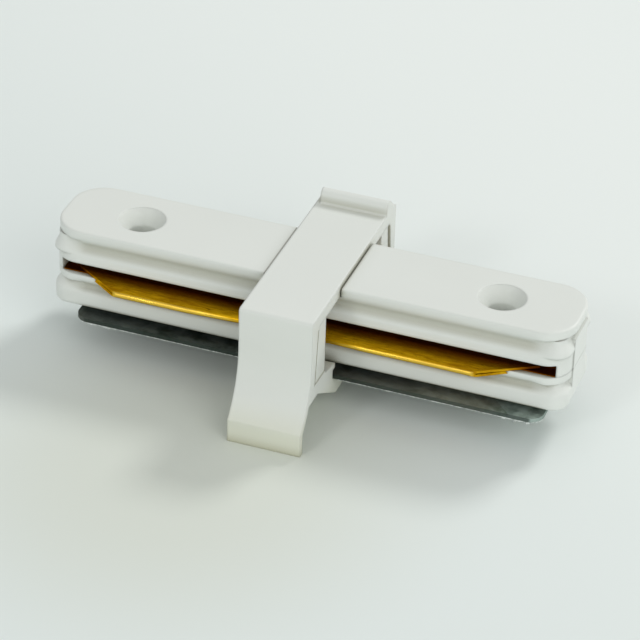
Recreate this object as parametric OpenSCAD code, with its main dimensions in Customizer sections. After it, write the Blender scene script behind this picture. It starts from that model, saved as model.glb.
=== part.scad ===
// Straight connector for two lengths of surface lighting track.
// A moulded bar carries two brass contact strips, a collar closes the joint between the
// tracks, and a steel plate under the bar is drawn up by two captive screws.
// Frame: X along the bar, Y across it, Z up, origin on the floor under the middle of the collar.

/* [Bar] */
// Length of the bar over both arms
bar_length = 63.2; // [60:0.1:66]
// Width of the bar over its cover plate
bar_width = 10.9; // [10.6:0.1:11.4]
// Plan radius of the cover plate's corners
cover_corner = 4.0; // [3.6:0.1:4.4]
// Plan radius of the middle band's corners
band_corner = 3.0; // [2.6:0.1:3.4]
// Plan radius of the corners under the cover plate and of the flange
body_corner = 2.0; // [1.7:0.1:2.2]
// Height of the bar's underside above the floor
bar_bottom = 5.2; // [5.1:0.05:5.3]
// Height of the bar's top above the floor
bar_top = 15.5; // [15.3:0.1:15.9]
// Thickness of the cover plate that overhangs the sides
cover_thickness = 1.2; // [1:0.1:1.4]
// Depth of the coves under the cover plate and under the middle band
cove_depth = 0.7; // [0.4:0.1:0.8]

/* [Contact slot] */
// Height of the slot's floor above the floor
slot_floor = 9.6; // [9.5:0.05:9.7]
// Height of the slot in each side of the bar
slot_height = 1.6; // [1.5:0.05:1.7]
// Thickness of the wall that closes each end of a slot
end_wall = 1.4; // [1.2:0.1:2]
// Thickness of the wall left between the two slots
core_thickness = 6.0; // [5.6:0.1:6.2]

/* [Contact strips] */
// Thickness of the brass sheet
strip_thickness = 0.3; // [0.25:0.05:0.35]
// Reach of the sheet's middle line from the middle of the bar, away from the collar
strip_reach = 7.35; // [7.1:0.05:7.5]
// Angle at which the flap drops on its way out of the slot
strip_drop = 11; // [8:0.5:11]
// Distance that the crest draws in beside the collar
strip_dip = 0.25; // [0.1:0.05:0.4]
// Distance that the crest stands out near its right end
strip_rise = 0.1; // [0.05:0.05:0.2]
// Height of the clamped root above the slot's floor
root_height = 0.45; // [0.45:0.05:0.55]
// Clearance that the clamped root has in its rabbet
root_clearance = 0.02; // [0.01:0.01:0.05]

/* [Collar] */
// Width over the two feet
foot_width = 35.0; // [34:0.1:36]
// Width over the upright part of the two legs
collar_depth = 28.5; // [28:0.1:29]
// Size of the collar along the bar
collar_width = 8.84; // [8:0.02:9.4]
// Height of the collar's top above the floor
collar_top = 15.95; // [15.9:0.05:16.2]
// Height of the rear lip above the floor
lip_top = 17.6; // [17.4:0.1:18.2]
// Thickness of the bridge over the bar
bridge_thickness = 1.6; // [1.5:0.05:1.7]
// Width of the window inside the collar
window_width = 19.0; // [18.6:0.1:19.6]
// Height of the vertical band round each foot
foot_band = 2.9; // [2.5:0.1:3.2]
// Thickness of the flared skin at the feet
skin = 0.8; // [0.8:0.05:1.2]
// Gap between the collar and each wall of its recess in the bar
recess_gap = 0.18; // [0.1:0.02:0.3]

/* [Fixing plate] */
// Distance from the left end of the bar to the steel plate
plate_inset_left = 3.5; // [3:0.1:4]
// Distance from the right end of the bar to the steel plate
plate_inset_right = 2.3; // [2:0.1:3]
// Width of the steel plate
plate_width = 13.6; // [13:0.1:13.8]
// Thickness of the steel plate
plate_thickness = 0.5; // [0.4:0.05:0.6]
// Plan radius of the plate's corners
plate_corner = 1.7; // [1:0.1:2.5]
// Travel of the plate from its rest to fully clamped
plate_lift = 0.5; // [0.4:0.05:0.55]

/* [Clamp screws] */
// Distance from each end of the bar to its screw
screw_inset = 9.5; // [9:0.1:10]
// Radius of the screw thread
screw_r = 1.45; // [1.2:0.05:1.45]
// Radius of the screw head
head_r = 2.3; // [2.1:0.05:2.3]
// Height of the screw head
head_height = 1.8; // [1.6:0.1:1.9]
// Radial clearance between the thread and the plate
thread_clearance = 0.05; // [0.02:0.01:0.08]
// Radial clearance round the screw in the housing
screw_clearance = 0.08; // [0.05:0.01:0.1]
// Radius of the driver hole above each screw
driver_r = 1.75; // [1.6:0.05:1.8]
// Radius of the countersink at the top of the driver hole
sink_r = 2.78; // [2.6:0.02:3]
// Depth of the countersink
sink_depth = 1.9; // [1.6:0.1:2.2]

/* [Hidden] */
$fn = 64;
eps = 0.01;

white = "WhiteSmoke";
brass = "Goldenrod";
steel = "LightSlateGray";

// Bar
half_length = bar_length / 2;
half_width = bar_width / 2;
slot_ceiling = slot_floor + slot_height;
cover_bottom = bar_top - cover_thickness;
band_top = slot_ceiling + 1.1;
band_bottom = slot_floor - 1.05;
flange_height = 1.9;
flange_top = bar_bottom + flange_height;
edge_break = 0.12;
top_edge = 0.22;
bottom_edge = 0.5;
cove_steps = 8;
slot_half = half_length - end_wall;
waist_corner = body_corner - cove_depth;
waist_slope = 0.7;
waist_round = 0.35;
end_step = 0.15;
end_pad = 5.0;

// Collar
half_collar = collar_width / 2;
outer = collar_depth / 2;
foot = foot_width / 2;
window = window_width / 2;
bridge_bottom = collar_top - bridge_thickness;
plate_bottom = bar_bottom - plate_lift - plate_thickness - 0.1;
keel_top = plate_bottom;
keel_bottom = 1.5;
keel_half = 5.7;
leg_bottom = 5.2;
leg_inner_bottom = 11.9;
shoulder_high = 6.55;
shoulder_low = 5.9;
shoulder_inner = 6.2;
plate_gap = 0.12;
flare_start = 10.6;
flare_drop = flare_start - foot_band;
flare_out = foot - outer;
flare_r = (flare_drop * flare_drop + flare_out * flare_out) / (2 * flare_out);
relief_width = 0.65;
relief_depth = 3.4;
relief_top = 14.0;
relief_bottom = 6.95;
relief_y_top = outer - 2.2;
relief_y_bottom = outer - 1.4;
panel_step = 0.12;
lip_front = 10.9;
lip_r = 0.75;
lip_fillet = 0.3;
lip_setback = 0.5;
rib_width = 2.4;
rib_gap = 0.05;
rib_top = flange_top;
top_round = 0.4;

// Screws and plate
screw_x = half_length - screw_inset;
head_seat = slot_floor - head_height - 0.55;
pocket_r = head_r + screw_clearance;
shank_hole_r = screw_r + screw_clearance;
thread_hole_r = screw_r + thread_clearance;
burr_r = screw_r + 0.75;
burr_height = 0.9;
screw_tip = plate_bottom - burr_height - 0.7;
peg_r = 1.2;
peg_y = 3.2;
peg_hole_r = peg_r + 0.25;
dowel_r = 0.9;
dowel_hole_r = dowel_r + 0.05;
dowel_x = 12;
dowel_length = 2.2;
cross_span = 2.6;
cross_slot = 0.6;
cross_depth = 1.1;

// Contact strips
root_inner = 1.3;
root_length = 2 * (screw_x - pocket_r - 2.7);
root_z = slot_floor + root_height + strip_thickness / 2;
bend = core_thickness / 2 + 0.3;
crest_r = 0.3;
fold_r = strip_thickness / 2 + 0.04;
arc_steps = 4;
fold_edge = half_width + 0.17;
fold_gap = 0.06;
strip_half = slot_half - 0.2;
end_left = slot_half - 2.0;
end_right = slot_half - 2.1;
kink_left = half_width - 1.15;
kink_right = half_width - 1.35;
slant_left = 0.545;
slant_right = 0.449;
cut_reach = strip_reach + strip_rise + strip_thickness;
back_clearance = 0.02;
back_margin = 0.1;
liner_edge = half_width - 0.6;
liner_thickness = 0.1;

// One cove: full depth at the far end, flush at the near end, as [inset, height] pairs
function cove(z_flush, z_deep) =
    [for (i = [0:cove_steps]) let (t = i / cove_steps)
        [cove_depth * (1 - cos(180 * t)) / 2, z_flush + t * (z_deep - z_flush)]];

// Quarter round between an upright side and a level face, as [inset, height] pairs
function round_edge(r, z_side, z_face, steps = 4) =
    [for (i = [0:steps]) let (a = 90 * i / steps)
        [r * (1 - cos(a)), z_side + (z_face - z_side) * sin(a)]];

// Side sections as [inset, height] pairs, from the lowest edge up. A section that stands on
// another one starts a little lower.
cover_side = concat([[edge_break, cover_bottom - eps], [0, cover_bottom + edge_break]],
                    round_edge(top_edge, bar_top - top_edge, bar_top));
upper_cove_side = concat([[0, band_top - eps]], cove(band_top, cover_bottom));
waist_side = [[waist_round, band_top - eps], [0, band_top + waist_round], [0, cover_bottom - waist_slope],
              [waist_slope, cover_bottom]];
upper_band_side = [[0, slot_floor], [0, band_top]];
lower_band_side = [[edge_break, band_bottom - eps], [0, band_bottom + edge_break], [0, slot_floor]];
flange_side = concat([for (i = [4:-1:0]) round_edge(bottom_edge, bar_bottom + bottom_edge, bar_bottom)[i]],
                     cove(flange_top, band_bottom));

// Solid with a moulded side section carried round a rounded rectangle
module moulded(side, corner, x_inset = 0, y_inset = 0) {
    bottom = side[0][1];
    top = side[len(side) - 1][1];
    straight_x = half_length - x_inset - corner;
    straight_y = half_width - y_inset - corner;
    section = concat([[0, bottom]], [for (p = side) [corner - p[0], p[1]]], [[0, top]]);
    translate([-straight_x, -straight_y, bottom])
        cube([2 * straight_x, 2 * straight_y, top - bottom]);
    for (turn = [0, 180]) rotate([0, 0, turn]) {
        translate([-straight_x, straight_y, 0])
            rotate([90, 0, 90]) linear_extrude(height = 2 * straight_x) polygon(section);
        translate([straight_x, straight_y, 0])
            rotate([90, 0, 0]) linear_extrude(height = 2 * straight_y) polygon(section);
        translate([straight_x, straight_y, 0]) rotate_extrude(angle = 90) polygon(section);
        translate([-straight_x, straight_y, 0])
            rotate([0, 0, 90]) rotate_extrude(angle = 90) polygon(section);
    }
}

// Level slab with round corners
module slab(length, width, corner, bottom, top) {
    translate([0, 0, bottom]) linear_extrude(height = top - bottom) {
        square([length - 2 * corner, width], center = true);
        square([length, width - 2 * corner], center = true);
        for (x = [-1, 1], y = [-1, 1])
            translate([x * (length / 2 - corner), y * (width / 2 - corner)]) circle(corner);
    }
}

// Places its children at both screws
module at_screws() {
    for (x = [-screw_x, screw_x]) translate([x, 0, 0]) children();
}

// Pads that stand proud in the middle of the end faces
module end_pads(bottom, top) {
    translate([-half_length, -end_pad / 2, bottom]) cube([bar_length, end_pad, top - bottom]);
}

module upper_housing() color(white) difference() {
    union() {
        moulded(cover_side, cover_corner);
        moulded(upper_cove_side, body_corner);
        moulded(upper_band_side, band_corner, end_step);
        // The cove stays shallower at the end faces
        moulded(waist_side, waist_corner, 0, cove_depth);
        end_pads(slot_floor, cover_bottom - waist_slope);
        for (x = [-dowel_x, dowel_x])
            translate([x, 0, slot_floor - dowel_length]) cylinder(r = dowel_r, h = dowel_length + 1);
    }
    // Slot in each side
    for (side = [0, 1]) mirror([0, side, 0]) translate([-slot_half, core_thickness / 2, slot_floor - 1])
        cube([2 * slot_half, bar_width, slot_height + 1]);
    // Recess for the collar's bridge
    translate([-half_collar - recess_gap, -bar_width, bridge_bottom])
        cube([collar_width + 2 * recess_gap, 2 * bar_width, bar_top]);
    at_screws() {
        translate([0, 0, slot_floor - 1]) cylinder(r = driver_r, h = bar_top);
        translate([0, 0, bar_top - sink_depth]) cylinder(r1 = driver_r, r2 = sink_r, h = sink_depth);
        translate([0, 0, bar_top - eps]) cylinder(r = sink_r, h = 1);
    }
    // Rabbets over the roots of the strips
    for (y = [-1, 1]) translate([0, y * (root_inner + core_thickness / 2) / 2, slot_floor])
        cube([root_length + 2 * root_clearance, core_thickness / 2 - root_inner + 2 * root_clearance,
              2 * (root_height + strip_thickness + root_clearance)], center = true);
}

module lower_housing() color(white) difference() {
    union() {
        moulded(flange_side, body_corner);
        moulded(lower_band_side, band_corner, end_step);
        end_pads(bar_bottom + bottom_edge, slot_floor);
        for (y = [-peg_y, peg_y])
            translate([0, y, keel_top]) cylinder(r = peg_r, h = bar_bottom - keel_top + 1);
        // Ledges that clamp the roots of the strips from below
        for (y = [-1, 1]) translate([0, y * (root_inner + core_thickness / 2) / 2, slot_floor])
            cube([root_length, core_thickness / 2 - root_inner, 2 * root_height], center = true);
    }
    at_screws() {
        translate([0, 0, head_seat]) cylinder(r = pocket_r, h = slot_floor);
        cylinder(r = shank_hole_r, h = bar_top);
    }
    for (x = [-dowel_x, dowel_x])
        translate([x, 0, slot_floor - dowel_length - 0.2]) cylinder(r = dowel_hole_r, h = dowel_length + 1);
}

// Side view of one leg with its flared skin, from the middle of the collar outwards
module leg_outline() {
    difference() {
        union() {
            translate([window, leg_bottom]) square([outer - window, collar_top - top_round - leg_bottom]);
            translate([window, collar_top - 2 * top_round])
                square([outer - top_round - window, 2 * top_round]);
            translate([outer - top_round, collar_top - top_round]) circle(top_round);
            translate([outer - skin, 0]) square([foot - outer + skin, flare_start]);
        }
        // Outer face of the flare, an arc that ends on the band round the foot
        translate([outer + flare_r, flare_start]) circle(flare_r, $fn = 180);
        // Hollow under the skin
        intersection() {
            translate([0, -1]) square([foot - skin, leg_bottom + 1]);
            difference() {
                translate([0, -1]) square([foot, leg_bottom + 1]);
                translate([outer + flare_r, flare_start]) circle(flare_r + skin, $fn = 180);
            }
        }
    }
}

// Keel under the plate, with the shoulders that flank it
module keel_outline() {
    difference() {
        polygon([[0, keel_bottom], [keel_half, keel_bottom], [leg_inner_bottom, leg_bottom],
                 [window + 1, leg_bottom + 1], [window + 1, shoulder_high], [window, shoulder_high],
                 [shoulder_inner, shoulder_low], [0, shoulder_low]]);
        translate([-1, keel_top]) square([shoulder_inner + 1, shoulder_low]);
        translate([-1, keel_top]) square([plate_width / 2 + plate_gap + 1, bar_bottom + 0.1 - keel_top]);
    }
}

// Ridge along the rear of the bridge, a round bead with a fillet at its foot
module lip_outline() {
    hull() {
        translate([lip_front + lip_r, lip_top - lip_r]) circle(lip_r, $fn = 32);
        translate([lip_front, collar_top - 1]) square([lip_r, eps]);
        translate([outer - top_round, collar_top - 2 * top_round]) circle(top_round, $fn = 32);
    }
    difference() {
        translate([lip_front - lip_fillet, collar_top - eps]) square([lip_fillet + eps, lip_fillet]);
        translate([lip_front - lip_fillet, collar_top + lip_fillet]) circle(lip_fillet, $fn = 32);
    }
}

module collar_outline() {
    for (side = [0, 1]) mirror([side, 0]) {
        leg_outline();
        keel_outline();
    }
    translate([-window - eps, bridge_bottom]) square([2 * window + 2 * eps, bridge_thickness]);
}

// Narrow relief that cores out each leg, following the lean of its outer face
module relief_outline() {
    polygon([for (corner = [[relief_y_bottom, relief_bottom, -1], [relief_y_bottom, relief_bottom, 1],
                            [relief_y_top, relief_top, 1], [relief_y_top, relief_top, -1]])
        [corner[0] + corner[2] * relief_width / 2, corner[1]]]);
}

// Stepped panel between the window and the relief
module panel_outline() {
    polygon([[window - eps, relief_bottom], [relief_y_bottom, relief_bottom], [relief_y_top, relief_top],
             [relief_y_top, bridge_bottom], [window - eps, bridge_bottom]]);
}

module collar() color(white) difference() {
    union() {
        rotate([90, 0, 90]) linear_extrude(height = collar_width, center = true) collar_outline();
        translate([lip_setback - half_collar, 0, 0]) rotate([90, 0, 90])
            linear_extrude(height = collar_width - lip_setback) lip_outline();
        // Ribs that hold the bar's flange between the legs
        for (side = [0, 1]) mirror([0, side, 0])
            translate([-rib_width / 2, half_width + rib_gap, shoulder_low])
                cube([rib_width, window + 1 - half_width - rib_gap, rib_top - shoulder_low]);
    }
    for (side = [0, 1], face = [0, 1]) mirror([0, side, 0]) mirror([face, 0, 0]) rotate([90, 0, 90]) {
        translate([0, 0, half_collar - relief_depth])
            linear_extrude(height = 2 * relief_depth) relief_outline();
        translate([0, 0, half_collar - panel_step])
            linear_extrude(height = 2 * panel_step) panel_outline();
    }
}

// Places along the strip as shares of its half length, with the crest's distance from its reach
crest_course = [[-1, 0], [-0.45, 0], [-0.25, -strip_dip], [0.16, -strip_dip], [0.28, -strip_dip / 2],
                [0.6, -strip_dip / 2], [1, strip_rise]];

// Height of the flap's middle line at a distance from the middle of the bar
function flap_z(y) = root_z - (y - bend) * tan(strip_drop);

// Points along an arc, without its first one
function arc(centre, r, from, to) = [for (i = [1:arc_steps])
    let (a = from + (to - from) * i / arc_steps) centre + r * [cos(a), sin(a)]];

// Middle line of the sheet in section: flat root, sloping flap, round crest and an edge folded
// back close under the flap, which stops short of the bar's side
function strip_path(tip) = let (
        flap_end = [tip - crest_r, flap_z(tip - crest_r)],
        crest = flap_end - crest_r * [sin(strip_drop), cos(strip_drop)],
        fold = crest + [crest_r - fold_r, 0],
        fold_end = [fold_edge, flap_z(fold_edge) - strip_thickness - fold_gap],
        slope = atan2(fold_end[1] - fold[1] + fold_r, fold[0] - fold_edge))
    concat([[core_thickness / 2 + root_clearance, root_z], [bend, root_z], flap_end],
           arc(crest, crest_r, 90 - strip_drop, 0), arc(fold, fold_r, 0, -90 - slope), [fold_end]);

// One side of the sheet, half a thickness off its middle line
function sheet_side(path, off) = [for (i = [0:len(path) - 1])
    let (a = path[max(i - 1, 0)], b = path[min(i + 1, len(path) - 1)],
         d = (b - a) / norm(b - a))
    path[i] + off * [-d[1], d[0]]];

function strip_section(tip) = concat(sheet_side(strip_path(tip), strip_thickness / 2),
    [for (p = [len(strip_path(tip)) - 1:-1:0]) sheet_side(strip_path(tip), -strip_thickness / 2)[p]]);

module strip_sheet() {
    sections = [for (place = crest_course)
        [for (p = strip_section(strip_reach + place[1])) [place[0] * strip_half, -p[0], p[1]]]];
    count = len(sections[0]);
    last = len(sections) - 1;
    points = [for (s = sections) for (p = s) p];
    sides = [for (s = [0:last - 1], i = [0:count - 1]) let (j = (i + 1) % count)
        each [[s * count + j, s * count + i, (s + 1) * count + i],
              [(s + 1) * count + j, s * count + j, (s + 1) * count + i]]];
    ends = [[for (i = [0:count - 1]) i], [for (i = [count - 1:-1:0]) last * count + i]];
    polyhedron(points, concat(sides, ends), convexity = 4);
}

// The front strip: its ends are cut square inside the slot and on a slant from there to the crest
module contact_strip() {
    intersection() {
        strip_sheet();
        linear_extrude(height = bar_top)
            polygon([[-end_left, -kink_left], [-end_left, -root_inner], [end_right, -root_inner],
                     [end_right, -kink_right],
                     [end_right - (cut_reach - kink_right) / slant_right, -cut_reach],
                     [-end_left + (cut_reach - kink_left) / slant_left, -cut_reach]]);
    }
    translate([-root_length / 2, -bend, root_z - strip_thickness / 2])
        cube([root_length, bend - root_inner, strip_thickness]);
    // Back of the strip, upright against the core, and the thin leaf that lines the slot's floor
    translate([0, -(core_thickness + strip_thickness) / 2 - back_clearance, slot_floor + slot_height / 2])
        cube([2 * (slot_half - back_margin), strip_thickness, slot_height - back_margin], center = true);
    translate([back_margin - slot_half, -liner_edge, slot_floor + back_clearance])
        cube([2 * (slot_half - back_margin), liner_edge - core_thickness / 2 - back_clearance,
              liner_thickness]);
}

module contact_strip_front() color(brass) contact_strip();

module contact_strip_rear() color(brass) rotate([0, 0, 180]) contact_strip();

module fixing_plate() color(steel) difference() {
    union() {
        translate([(plate_inset_left - plate_inset_right) / 2, 0, 0])
            slab(bar_length - plate_inset_left - plate_inset_right, plate_width, plate_corner,
                 plate_bottom, plate_bottom + plate_thickness);
        at_screws() translate([0, 0, plate_bottom - burr_height])
            cylinder(r = burr_r, h = burr_height + eps);
    }
    at_screws() cylinder(r = thread_hole_r, h = bar_top);
    for (y = [-peg_y, peg_y]) translate([0, y, 0]) cylinder(r = peg_hole_r, h = bar_top);
}

// Pan head with a cross recess on a plain shank
module clamp_screw() difference() {
    union() {
        translate([0, 0, screw_tip]) cylinder(r = screw_r, h = head_seat - screw_tip + eps);
        translate([0, 0, screw_tip - 0.4]) cylinder(r1 = screw_r - 0.4, r2 = screw_r, h = 0.4);
        translate([0, 0, head_seat]) cylinder(r = head_r, h = head_height - 0.5);
        translate([0, 0, head_seat + head_height - 0.5]) cylinder(r1 = head_r, r2 = head_r - 0.5, h = 0.5);
    }
    for (turn = [0, 90]) rotate([0, 0, turn])
        translate([0, 0, head_seat + head_height])
            cube([cross_span, cross_slot, 2 * cross_depth], center = true);
}

module clamp_screw_left() color(steel) translate([-screw_x, 0, 0]) clamp_screw();

module clamp_screw_right() color(steel) translate([screw_x, 0, 0]) clamp_screw();

upper_housing();
lower_housing();
collar();
contact_strip_front();
contact_strip_rear();
fixing_plate();
clamp_screw_left();
clamp_screw_right();
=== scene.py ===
import math
import random

import bmesh
import bpy
from mathutils import Matrix, Vector


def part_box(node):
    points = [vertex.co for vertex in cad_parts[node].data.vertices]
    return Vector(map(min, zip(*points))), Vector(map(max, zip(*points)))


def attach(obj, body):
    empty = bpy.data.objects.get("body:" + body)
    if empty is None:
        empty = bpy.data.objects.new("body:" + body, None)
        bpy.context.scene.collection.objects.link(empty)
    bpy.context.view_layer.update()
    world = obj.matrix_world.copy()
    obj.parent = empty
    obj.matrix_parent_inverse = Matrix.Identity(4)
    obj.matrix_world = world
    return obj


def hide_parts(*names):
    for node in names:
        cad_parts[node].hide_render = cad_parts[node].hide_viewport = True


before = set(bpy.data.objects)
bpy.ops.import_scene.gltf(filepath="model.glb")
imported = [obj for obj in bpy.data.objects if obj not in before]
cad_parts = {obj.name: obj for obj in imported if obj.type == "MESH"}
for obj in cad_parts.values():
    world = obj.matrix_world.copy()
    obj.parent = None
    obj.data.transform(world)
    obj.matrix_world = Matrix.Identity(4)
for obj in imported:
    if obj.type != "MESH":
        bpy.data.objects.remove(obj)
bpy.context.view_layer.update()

MM = 0.001

# Sizes repeated from the source
PLATE_THICKNESS = 0.5 * MM
PLATE_CORNER = 1.7 * MM
COLLAR_HALF = 4.42 * MM
RECESS_HALF = 4.6 * MM
BAR_HALF_WIDTH = 5.45 * MM

# Coves of the bar as they are drawn: depth, and the heights of each one's lower end, deepest line
# and upper end
COVE_DEPTH = 0.72 * MM
UPPER_COVE = (12.0 * MM, 13.25 * MM, 15.05 * MM)
LOWER_COVE = (7.0 * MM, 7.95 * MM, 9.35 * MM)
# Power of the wave above the deepest line: over 1, the wall comes out sooner and ends flatter
COVE_POWER = 1.2
# Only the bar's walls outside this distance from its middle plane move
OUTER_WALL = 4.5 * MM
# Half length of the straight coves, and the length over which they fade out
COVE_STRAIGHT = 27.4 * MM
COVE_FADE = 1.8 * MM
# Number of levels up a cove, and number and spacing of cuts where it fades
COVE_LEVELS = 16
FADE_CUTS = 5
FADE_STEP = 0.45 * MM
# Edges bent more than this stay sharp
SHARP_ANGLE = math.radians(28)

# Burr round the plate's underside: spacing of its points, how far it stands out from the rim and
# reaches in from it, and how high its outer and inner edges lie above the underside
BURR_STEP = 0.14 * MM
BURR_PROUD = 0.02 * MM
BURR_REACH = 0.14 * MM
BURR_OUTER_RISE = 0.05 * MM
BURR_INNER_RISE = 0.03 * MM
# How far it hangs below the underside, in millimetres: the least, and the random rest. A share of
# the points is lower by a factor
BURR_LEAST = 0.03
BURR_REST = 0.05
LOW_SHARE = 0.22
LOW_FACTOR = 0.2
# Tears: the share of points that hang further down, how much further at most in millimetres, and
# where they lie along the front edge, from the plate's two ends
TEAR_SHARE = 0.5
TEAR_REST = 0.26
TEARS_LEFT = (2.0 * MM, 5.5 * MM)
TEARS_RIGHT = (1.0 * MM, 5.0 * MM)

# How near another surface has to be for painted shade in a crease to show
CREASE_SHADE_REACH = 1.8 * MM
# The painted shadow in the joints beside the collar lies this much towards the left
JOINT_SHADOW_SHIFT = 0.08 * MM
# Where a colour fades in or out, as the two distances from the part's middle, or heights, between
# which it does
# Painted crease shade fades out at the bar's ends between these two
CREASE_SHADE_END = (29.6 * MM, 30.8 * MM)
# Painted shadow in the joints beside the collar is set by the next two
JOINT_SHADOW_ALONG = (RECESS_HALF + 0.08 * MM, RECESS_HALF + 0.2 * MM)
JOINT_SHADOW_FOOT = (15.2 * MM, 15.35 * MM)
# Painted shade in the coves is set by the next five
COVE_SHADE_DEPTH = (BAR_HALF_WIDTH - COVE_DEPTH, BAR_HALF_WIDTH - 0.08 * MM)
COVE_SHADE_ASIDE = (4.3 * MM, 4.5 * MM)
COVE_SHADE_FOOT = (6.9 * MM, 7.2 * MM)
COVE_SHADE_TOP = (14.7 * MM, 15.05 * MM)
COVE_SHADE_END = (26.5 * MM, 29.5 * MM)
# The collar's feet grow warmer and darker towards the bottom between these heights
WARMER_FOOT = (1.5 * MM, 6.0 * MM)
# Painted shade on the brass in the slot is set by the next two
SLOT_SHADE_DEPTH = (4.6 * MM, 6.1 * MM)
SLOT_ROOT_SHADE = (4.5 * MM, 5.0 * MM)
# Painted highlight along the brass crest, between these depths
CREST_WEAR_AND_HIGHLIGHT = (7.12 * MM, 7.28 * MM)
# Painted reflection on the plate, paler towards the right between these two
PAINTED_REFLECTION_SPAN = (4 * MM, 27 * MM)
SHEARED_EDGE = (6.70 * MM, 6.79 * MM)

# Painted light: the floor is lighter towards the rear right, from one of these distances to the
# other
PAINTED_FLOOR_LIGHT = (-60 * MM, 90 * MM)
# Painted warm shade on the floor: its middle, and the distances from there between which it fades
# out
WARM_SHADE_AT = (-8 * MM, -26 * MM, 0)
WARM_SHADE_REACH = (8 * MM, 40 * MM)

# Lamps: name, place, point aimed at, width of the disk in metres and power in watts
LAMP_COLOUR = (1.0, 1.0, 0.98)
LAMPS = (("key", (0.35, 0.75, 0.8), (0, 0, 0), 0.3, 4.4),
         ("fill", (0.8, -0.62, 0.55), (0, 0, 0.01), 0.95, 3.6),
         ("glint", (-0.3, -0.85, 0.6), (0, 0, 0.01), 0.22, 1.1))

# Camera, fitted to the photograph
CAMERA_AT = Vector((103.059, -296.142, 210.91)) * MM
CAMERA_RIGHT = Vector((0.93867, 0.343821, 0.026195))
CAMERA_UP = Vector((-0.208217, 0.504621, 0.837856))
CAMERA_LENS = 180.332
CAMERA_SENSOR = 36.0


def add_camera():
    data = bpy.data.cameras.new("camera")
    data.lens = CAMERA_LENS
    data.sensor_width = CAMERA_SENSOR
    data.clip_start = 0.01
    data.clip_end = 20.0
    camera = bpy.data.objects.new("camera", data)
    right = CAMERA_RIGHT.normalized()
    back = right.cross(CAMERA_UP).normalized()
    up = back.cross(right)
    turn = Matrix((right, up, back)).transposed()
    camera.matrix_world = Matrix.Translation(CAMERA_AT) @ turn.to_4x4()
    bpy.context.scene.collection.objects.link(camera)
    bpy.context.scene.camera = camera


class Nodes:
    """Short way to write a material's node tree."""

    def __init__(self, name):
        self.mat = bpy.data.materials.new(name)
        self.mat.use_nodes = True
        self.tree = self.mat.node_tree
        self.bsdf = self.tree.nodes["Principled BSDF"]

    def add(self, kind, inputs=None, **props):
        node = self.tree.nodes.new(kind)
        for key, value in props.items():
            setattr(node, key, value)
        for key, value in (inputs or {}).items():
            self.put(node, key, value)
        return node

    def put(self, node, key, value):
        if isinstance(value, bpy.types.NodeSocket):
            self.tree.links.new(value, node.inputs[key])
        else:
            node.inputs[key].default_value = value

    def place(self):
        return self.add("ShaderNodeTexCoord").outputs["Object"]

    def stretch(self, vector, scale):
        return self.add("ShaderNodeMapping", {"Vector": vector, "Scale": scale}).outputs["Vector"]

    def noise(self, vector, scale, detail=3.0, roughness=0.5):
        return self.add("ShaderNodeTexNoise", {"Vector": vector, "Scale": scale, "Detail": detail,
                                               "Roughness": roughness}).outputs["Fac"]

    def remap(self, value, low, high, to_low=0.0, to_high=1.0):
        return self.add("ShaderNodeMapRange", {"Value": value, "From Min": low, "From Max": high,
                                               "To Min": to_low, "To Max": to_high},
                        interpolation_type="SMOOTHSTEP").outputs["Result"]

    def mix(self, factor, a, b, blend="MIX"):
        node = self.add("ShaderNodeMix", {"Factor": factor}, data_type="RGBA", blend_type=blend)
        self.put(node, 6, a)
        self.put(node, 7, b)
        return node.outputs[2]

    def math(self, operation, a, b=0.0):
        return self.add("ShaderNodeMath", {0: a, 1: b}, operation=operation).outputs["Value"]

    def axis(self, vector, name):
        return self.add("ShaderNodeSeparateXYZ", {"Vector": vector}).outputs[name]

    def bump(self, height, strength, distance, normal=None):
        inputs = {"Height": height, "Strength": strength, "Distance": distance}
        if normal:
            inputs["Normal"] = normal
        return self.add("ShaderNodeBump", inputs).outputs["Normal"]

    def soft_edges(self, radius):
        return self.add("ShaderNodeBevel", {"Radius": radius}, samples=8).outputs["Normal"]

    def finish(self, colour, rough, normal, metallic=0.0):
        self.put(self.bsdf, "Base Color", colour)
        self.put(self.bsdf, "Roughness", rough)
        self.put(self.bsdf, "Normal", normal)
        self.bsdf.inputs["Metallic"].default_value = metallic
        return self.mat


def cove_shade(n, place):
    """Mask of the painted shade along the coves, strongest where they are deepest."""
    height = n.axis(place, "Z")
    aside = n.math("ABSOLUTE", n.axis(place, "Y"))
    along = n.math("ABSOLUTE", n.axis(place, "X"))
    mask = n.remap(aside, *COVE_SHADE_DEPTH, 1.0, 0.0)
    shares = (n.remap(aside, *COVE_SHADE_ASIDE), n.remap(height, *COVE_SHADE_FOOT),
              n.remap(height, *COVE_SHADE_TOP, 1.0, 0.0), n.remap(along, *COVE_SHADE_END, 1.0, 0.0))
    for share in shares:
        mask = n.math("MULTIPLY", mask, share)
    return mask


def housing_marks(n, place, colour):
    """Painted shadow in the joints beside the collar, a little further out on the left, and painted
    shade in the coves.
    """
    # Painted shadow: a dark line on the bar's top beside the collar
    along = n.math("ABSOLUTE", n.math("ADD", n.axis(place, "X"), JOINT_SHADOW_SHIFT))
    beside = n.remap(along, *JOINT_SHADOW_ALONG, 0.8, 0.0)
    joint_shadow = n.math("MULTIPLY", beside, n.remap(n.axis(place, "Z"), *JOINT_SHADOW_FOOT))
    colour = n.mix(joint_shadow, colour, (0.22, 0.21, 0.18, 1))
    # Painted shade in the coves, darker and warmer
    return n.mix(cove_shade(n, place), colour, (0.79, 0.775, 0.72, 1), "MULTIPLY")


def collar_marks(n, place, colour):
    """Feet a little warmer and darker towards the bottom."""
    warmer_low = n.remap(n.axis(place, "Z"), *WARMER_FOOT, 1.0, 0.0)
    return n.mix(warmer_low, colour, (0.97, 0.96, 0.86, 1), "MULTIPLY")


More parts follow.
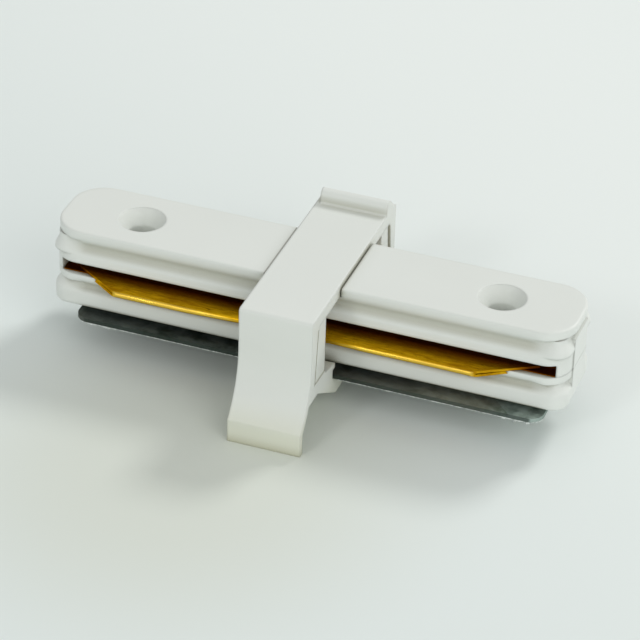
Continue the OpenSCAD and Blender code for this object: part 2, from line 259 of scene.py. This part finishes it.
def white_plastic(name, edge_radius, crease_shade_tint, marks):
    """Satin moulded plastic, a little cloudy, with soft edges and painted warm shade in its
    creases.
    """
    n = Nodes(name)
    place = n.place()
    cloud = n.noise(place, 90.0)
    unshaded = n.mix(cloud, (0.765, 0.79, 0.755, 1), (0.79, 0.815, 0.78, 1))
    # Painted shade: the plastic is darker and warmer where other surfaces lie near
    occlusion = n.add("ShaderNodeAmbientOcclusion", {"Distance": CREASE_SHADE_REACH}, samples=8)
    # The painted crease shade mostly fades out at the bar's two ends
    along = n.math("ABSOLUTE", n.axis(place, "X"))
    end = n.remap(along, *CREASE_SHADE_END, 0.0, 0.8)
    shown = n.math("MAXIMUM", n.remap(occlusion.outputs["AO"], 0.40, 1.0), end)
    crease_shade = n.mix(shown, crease_shade_tint, (1, 1, 1, 1))
    colour = marks(n, place, n.mix(1.0, unshaded, crease_shade, "MULTIPLY"))
    rough = n.remap(cloud, 0.3, 0.7, 0.42, 0.52)
    orange_peel = n.noise(place, 900.0, 2.0)
    normal = n.bump(orange_peel, 0.05, 0.2 * MM, n.soft_edges(edge_radius))
    return n.finish(colour, rough, normal)


def brass():
    """Rolled sheet with short lines along the bar, dark specks, stains, and painted shade in the
    slot.
    """
    n = Nodes("brass")
    place = n.place()
    line = n.noise(n.stretch(place, (480.0, 3600.0, 3600.0)), 1.0, 5.0, 0.7)
    speck = n.noise(n.stretch(place, (1300.0, 5200.0, 5200.0)), 1.0, 2.0)
    stain = n.noise(n.stretch(place, (110.0, 330.0, 330.0)), 1.0, 5.0, 0.6)
    metal = n.mix(n.remap(line, 0.3, 0.7), (0.53, 0.265, 0.003, 1), (0.88, 0.52, 0.012, 1))
    stained = n.mix(n.remap(stain, 0.48, 0.70, 0.0, 0.5), metal, (0.38, 0.14, 0.003, 1))
    specked = n.mix(n.remap(speck, 0.63, 0.74, 0.0, 0.6), stained, (0.16, 0.06, 0.002, 1))
    depth = n.math("ABSOLUTE", n.axis(place, "Y"))
    # Painted shade, dark red-brown, where the sheet runs into the slot
    slot_shade = n.remap(depth, *SLOT_SHADE_DEPTH, 0.9, 0.0)
    slot_shaded = n.mix(slot_shade, specked, (0.34, 0.075, 0.002, 1))
    # Painted shade, nearly black, at the root of the slot
    root_shade = n.remap(depth, *SLOT_ROOT_SHADE, 0.75, 0.0)
    slot_shaded = n.mix(root_shade, slot_shaded, (0.08, 0.02, 0.002, 1))
    # Painted highlight along the crest, which is also smoother there from wear
    wear_and_highlight = n.remap(depth, *CREST_WEAR_AND_HIGHLIGHT, 0.0, 0.6)
    colour = n.mix(wear_and_highlight, slot_shaded, (0.98, 0.70, 0.12, 1))
    dull = n.remap(stain, 0.3, 0.7, 0.36, 0.50)
    rough = n.math("SUBTRACT", dull, n.math("MULTIPLY", wear_and_highlight, 0.25))
    normal = n.bump(line, 0.2, 0.08 * MM, n.soft_edges(0.06 * MM))
    n.bsdf.inputs["Specular Tint"].default_value = (0.95, 0.72, 0.25, 1)
    return n.finish(colour, rough, normal, 1.0)


def zinc_steel():
    """Dull galvanised sheet in broad patches, paler towards the right from a painted reflection,
    with a dark sheared edge.
    """
    n = Nodes("zinc_steel")
    place = n.place()
    patch = n.add("ShaderNodeTexVoronoi", {"Vector": place, "Scale": 230.0}).outputs["Color"]
    patch = n.axis(patch, "X")
    cloud = n.noise(place, 420.0, 5.0, 0.7)
    broad = n.noise(place, 75.0, 2.0)
    base = n.mix(n.remap(cloud, 0.35, 0.65), (0.07, 0.10, 0.08, 1), (0.25, 0.295, 0.27, 1))
    spangle = n.mix(n.remap(patch, 0.2, 0.9, 0.0, 0.35), base, (0.33, 0.39, 0.39, 1))
    patched = n.mix(n.remap(broad, 0.50, 0.66, 0.0, 0.55), spangle, (0.26, 0.25, 0.21, 1))
    # Painted reflection: darker at the left, paler towards the right
    reflection_share = n.remap(n.axis(place, "X"), *PAINTED_REFLECTION_SPAN)
    fade = n.mix(reflection_share, (0.58, 0.58, 0.58, 1), (1.80, 1.80, 1.80, 1))
    toned = n.mix(1.0, patched, fade, "MULTIPLY")
    across = n.math("ABSOLUTE", n.axis(place, "Y"))
    edge = n.remap(across, *SHEARED_EDGE, 0.0, 0.72)
    colour = n.mix(edge, toned, (0.05, 0.065, 0.055, 1))
    rough = n.remap(cloud, 0.3, 0.7, 0.56, 0.72)
    normal = n.bump(cloud, 0.1, 0.2 * MM, n.soft_edges(0.08 * MM))
    return n.finish(colour, rough, normal, 1.0)


def torn_steel():
    """Bright bare metal of the burr."""
    n = Nodes("torn_steel")
    grain = n.noise(n.place(), 2500.0, 3.0)
    colour = n.mix(n.remap(grain, 0.35, 0.6), (0.38, 0.42, 0.40, 1), (0.80, 0.83, 0.81, 1))
    rough = n.remap(grain, 0.3, 0.7, 0.3, 0.5)
    normal = n.bump(grain, 0.3, 0.05 * MM)
    return n.finish(colour, rough, normal, 0.3)


def screw_steel():
    """Bright plated steel."""
    n = Nodes("screw_steel")
    place = n.place()
    cloud = n.noise(place, 600.0, 3.0)
    colour = n.mix(cloud, (0.42, 0.43, 0.42, 1), (0.60, 0.60, 0.58, 1))
    rough = n.remap(cloud, 0.3, 0.7, 0.25, 0.4)
    normal = n.bump(cloud, 0.08, 0.05 * MM, n.soft_edges(0.1 * MM))
    return n.finish(colour, rough, normal, 1.0)


def dress(node, material):
    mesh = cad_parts[node].data
    mesh.materials.clear()
    mesh.materials.append(material)


def wave_inset(z, low, deep, high):
    """How far a cove draws in at a height: an even wave below, one that ends flatter above."""
    if not low < z < high:
        return 0.0
    share = (z - low) / (deep - low) if z < deep else ((high - z) / (high - deep)) ** COVE_POWER
    return COVE_DEPTH * (1 - math.cos(math.pi * share)) / 2


def soften_coves(node, low, deep, high, material):
    """Copy of a housing whose straight coves run in one soft wave, without a flat ledge."""
    bm = bmesh.new()
    bm.from_mesh(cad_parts[node].data)
    bmesh.ops.remove_doubles(bm, verts=bm.verts, dist=0.001 * MM)
    cuts = [((0, 0, low + (high - low) * i / COVE_LEVELS), (0, 0, 1))
            for i in range(1, COVE_LEVELS)]
    cuts += [((side * (COVE_STRAIGHT + i * FADE_STEP), 0, 0), (1, 0, 0))
             for side in (-1, 1) for i in range(FADE_CUTS)]
    for place, direction in cuts:
        bmesh.ops.bisect_plane(bm, geom=bm.verts[:] + bm.edges[:] + bm.faces[:], dist=0.0005 * MM,
                               plane_co=place, plane_no=direction)
    for vert in bm.verts:
        x, y, z = vert.co
        if abs(y) < OUTER_WALL or not low < z < high:
            continue
        fade = min(1.0, max(0.0, 1 - (abs(x) - COVE_STRAIGHT) / COVE_FADE))
        target = math.copysign(BAR_HALF_WIDTH - wave_inset(z, low, deep, high), y)
        vert.co.y = y + (target - y) * fade
    bmesh.ops.remove_doubles(bm, verts=bm.verts, dist=0.004 * MM)
    bmesh.ops.dissolve_degenerate(bm, dist=0.001 * MM, edges=bm.edges)
    mesh = bpy.data.meshes.new(node + "_soft")
    bm.to_mesh(mesh)
    bm.free()
    # The imported normals no longer fit the moved walls
    mesh.attributes.remove(mesh.attributes["custom_normal"])
    mesh.shade_smooth()
    mesh.set_sharp_from_angle(angle=SHARP_ANGLE)
    mesh.materials.append(material)
    piece = bpy.data.objects.new(node + "_soft", mesh)
    bpy.context.scene.collection.objects.link(piece)
    piece.modifiers.new("flat faces stay flat", "WEIGHTED_NORMAL").keep_sharp = True
    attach(piece, "connector")
    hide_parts(node)


def rounded_outline(low, high, corner, step):
    """Points and outward directions round a rectangle with round corners, in plan."""
    outline = []
    centres = [(high.x - corner, high.y - corner, 0), (low.x + corner, high.y - corner, 90),
               (low.x + corner, low.y + corner, 180), (high.x - corner, low.y + corner, 270)]
    turns = max(2, round(corner * math.pi / 2 / step))
    for index, (x, y, start) in enumerate(centres):
        for i in range(turns + 1):
            angle = math.radians(start + 90 * i / turns)
            out = Vector((math.cos(angle), math.sin(angle), 0))
            outline.append((Vector((x, y, 0)) + corner * out, out))
        next_x, next_y, _ = centres[(index + 1) % 4]
        span = Vector((next_x - x, next_y - y, 0))
        count = round(span.length / step)
        last, out = outline[-1]
        outline += [(last + span * i / count, out) for i in range(1, count)]
    return outline


def burr_height(random_source, place, low, high):
    """Ragged height of the burr, with a few larger tears near the two front corners."""
    height = BURR_LEAST + BURR_REST * random_source.random()
    if random_source.random() < LOW_SHARE:
        height *= LOW_FACTOR
    torn_left = low.x + TEARS_LEFT[0] < place.x < low.x + TEARS_LEFT[1]
    torn_right = high.x - TEARS_RIGHT[1] < place.x < high.x - TEARS_RIGHT[0]
    if place.y < 0 and (torn_left or torn_right) and random_source.random() < TEAR_SHARE:
        height += TEAR_REST * random_source.random()
    return height * MM


def add_plate_burr(material):
    """Burr that the shears left round the underside of the fixing plate."""
    low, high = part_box("fixing_plate")
    underside = high.z - PLATE_THICKNESS
    source = random.Random(11)
    bm = bmesh.new()
    rings = []
    for place, out in rounded_outline(low, high, PLATE_CORNER, BURR_STEP):
        shown = abs(place.x) > COLLAR_HALF + 0.4 * MM
        # Inside the collar's slot the ring stays within the plate
        drop = burr_height(source, place, low, high) if shown else -BURR_PROUD
        proud = BURR_PROUD if shown else -BURR_PROUD
        section = ((-BURR_REACH, BURR_INNER_RISE), (proud, BURR_OUTER_RISE), (proud * 0.5, -drop))
        rings.append([bm.verts.new(place + out * aside + Vector((0, 0, underside + up)))
                      for aside, up in section])
    for ring, following in zip(rings, rings[1:] + rings[:1]):
        for i in range(3):
            j = (i + 1) % 3
            bm.faces.new((ring[i], ring[j], following[j], following[i]))
    bmesh.ops.recalc_face_normals(bm, faces=bm.faces)
    mesh = bpy.data.meshes.new("plate_burr")
    bm.to_mesh(mesh)
    bm.free()
    mesh.materials.append(material)
    burr = bpy.data.objects.new("plate_burr", mesh)
    bpy.context.scene.collection.objects.link(burr)
    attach(burr, "plate")


def add_floor():
    bpy.ops.mesh.primitive_plane_add(size=6.0, location=(0, 0, 0))
    floor = bpy.context.object
    floor.name = "floor"
    n = Nodes("floor")
    place = n.place()
    cloud = n.noise(place, 3.0)
    paper = n.mix(cloud, (0.775, 0.835, 0.825, 1), (0.785, 0.84, 0.83, 1))
    # Painted light, lighter towards the rear right, as in the photograph
    across = n.math("ADD", n.math("MULTIPLY", n.axis(place, "X"), 0.6), n.axis(place, "Y"))
    colour = n.mix(n.remap(across, *PAINTED_FLOOR_LIGHT), paper, (0.86, 0.90, 0.885, 1))
    # Painted warm shade on the paper before the collar's front foot
    away = n.add("ShaderNodeVectorMath", {0: place, 1: WARM_SHADE_AT}, operation="DISTANCE")
    warm_shade = n.remap(away.outputs["Value"], *WARM_SHADE_REACH, 1.0, 0.0)
    n.put(n.bsdf, "Base Color", n.mix(warm_shade, colour, (0.91, 0.89, 0.83, 1), "MULTIPLY"))
    n.put(n.bsdf, "Roughness", n.remap(cloud, 0.0, 1.0, 0.85, 0.95))
    floor.data.materials.append(n.mat)


def add_light(name, place, aim, size, power):
    data = bpy.data.lights.new(name, "AREA")
    data.shape = "DISK"
    data.size = size
    data.energy = power
    data.color = LAMP_COLOUR
    light = bpy.data.objects.new(name, data)
    light.location = place
    light.rotation_euler = (Vector(aim) - Vector(place)).to_track_quat("-Z", "Y").to_euler()
    bpy.context.scene.collection.objects.link(light)


def add_world():
    world = bpy.data.worlds.new("world")
    world.use_nodes = True
    back = world.node_tree.nodes["Background"]
    back.inputs["Color"].default_value = (0.98, 1.0, 0.985, 1)
    back.inputs["Strength"].default_value = 0.52
    bpy.context.scene.world = world


add_camera()

housing_white = white_plastic("housing_white", edge_radius=0.45 * MM,
                              crease_shade_tint=(0.47, 0.45, 0.375, 1), marks=housing_marks)
collar_white = white_plastic("collar_white", edge_radius=0.35 * MM,
                             crease_shade_tint=(0.70, 0.68, 0.60, 1), marks=collar_marks)
sheet_brass = brass()
plate_steel = zinc_steel()
fastener_steel = screw_steel()
soften_coves("upper_housing", *UPPER_COVE, housing_white)
soften_coves("lower_housing", *LOWER_COVE, housing_white)
dress("collar", collar_white)
for part in ("contact_strip_front", "contact_strip_rear"):
    dress(part, sheet_brass)
dress("fixing_plate", plate_steel)
for part in ("clamp_screw_left", "clamp_screw_right"):
    dress(part, fastener_steel)
add_plate_burr(torn_steel())

add_floor()
add_world()
for lamp in LAMPS:
    add_light(*lamp)

scene = bpy.context.scene
scene.view_settings.view_transform = "Standard"
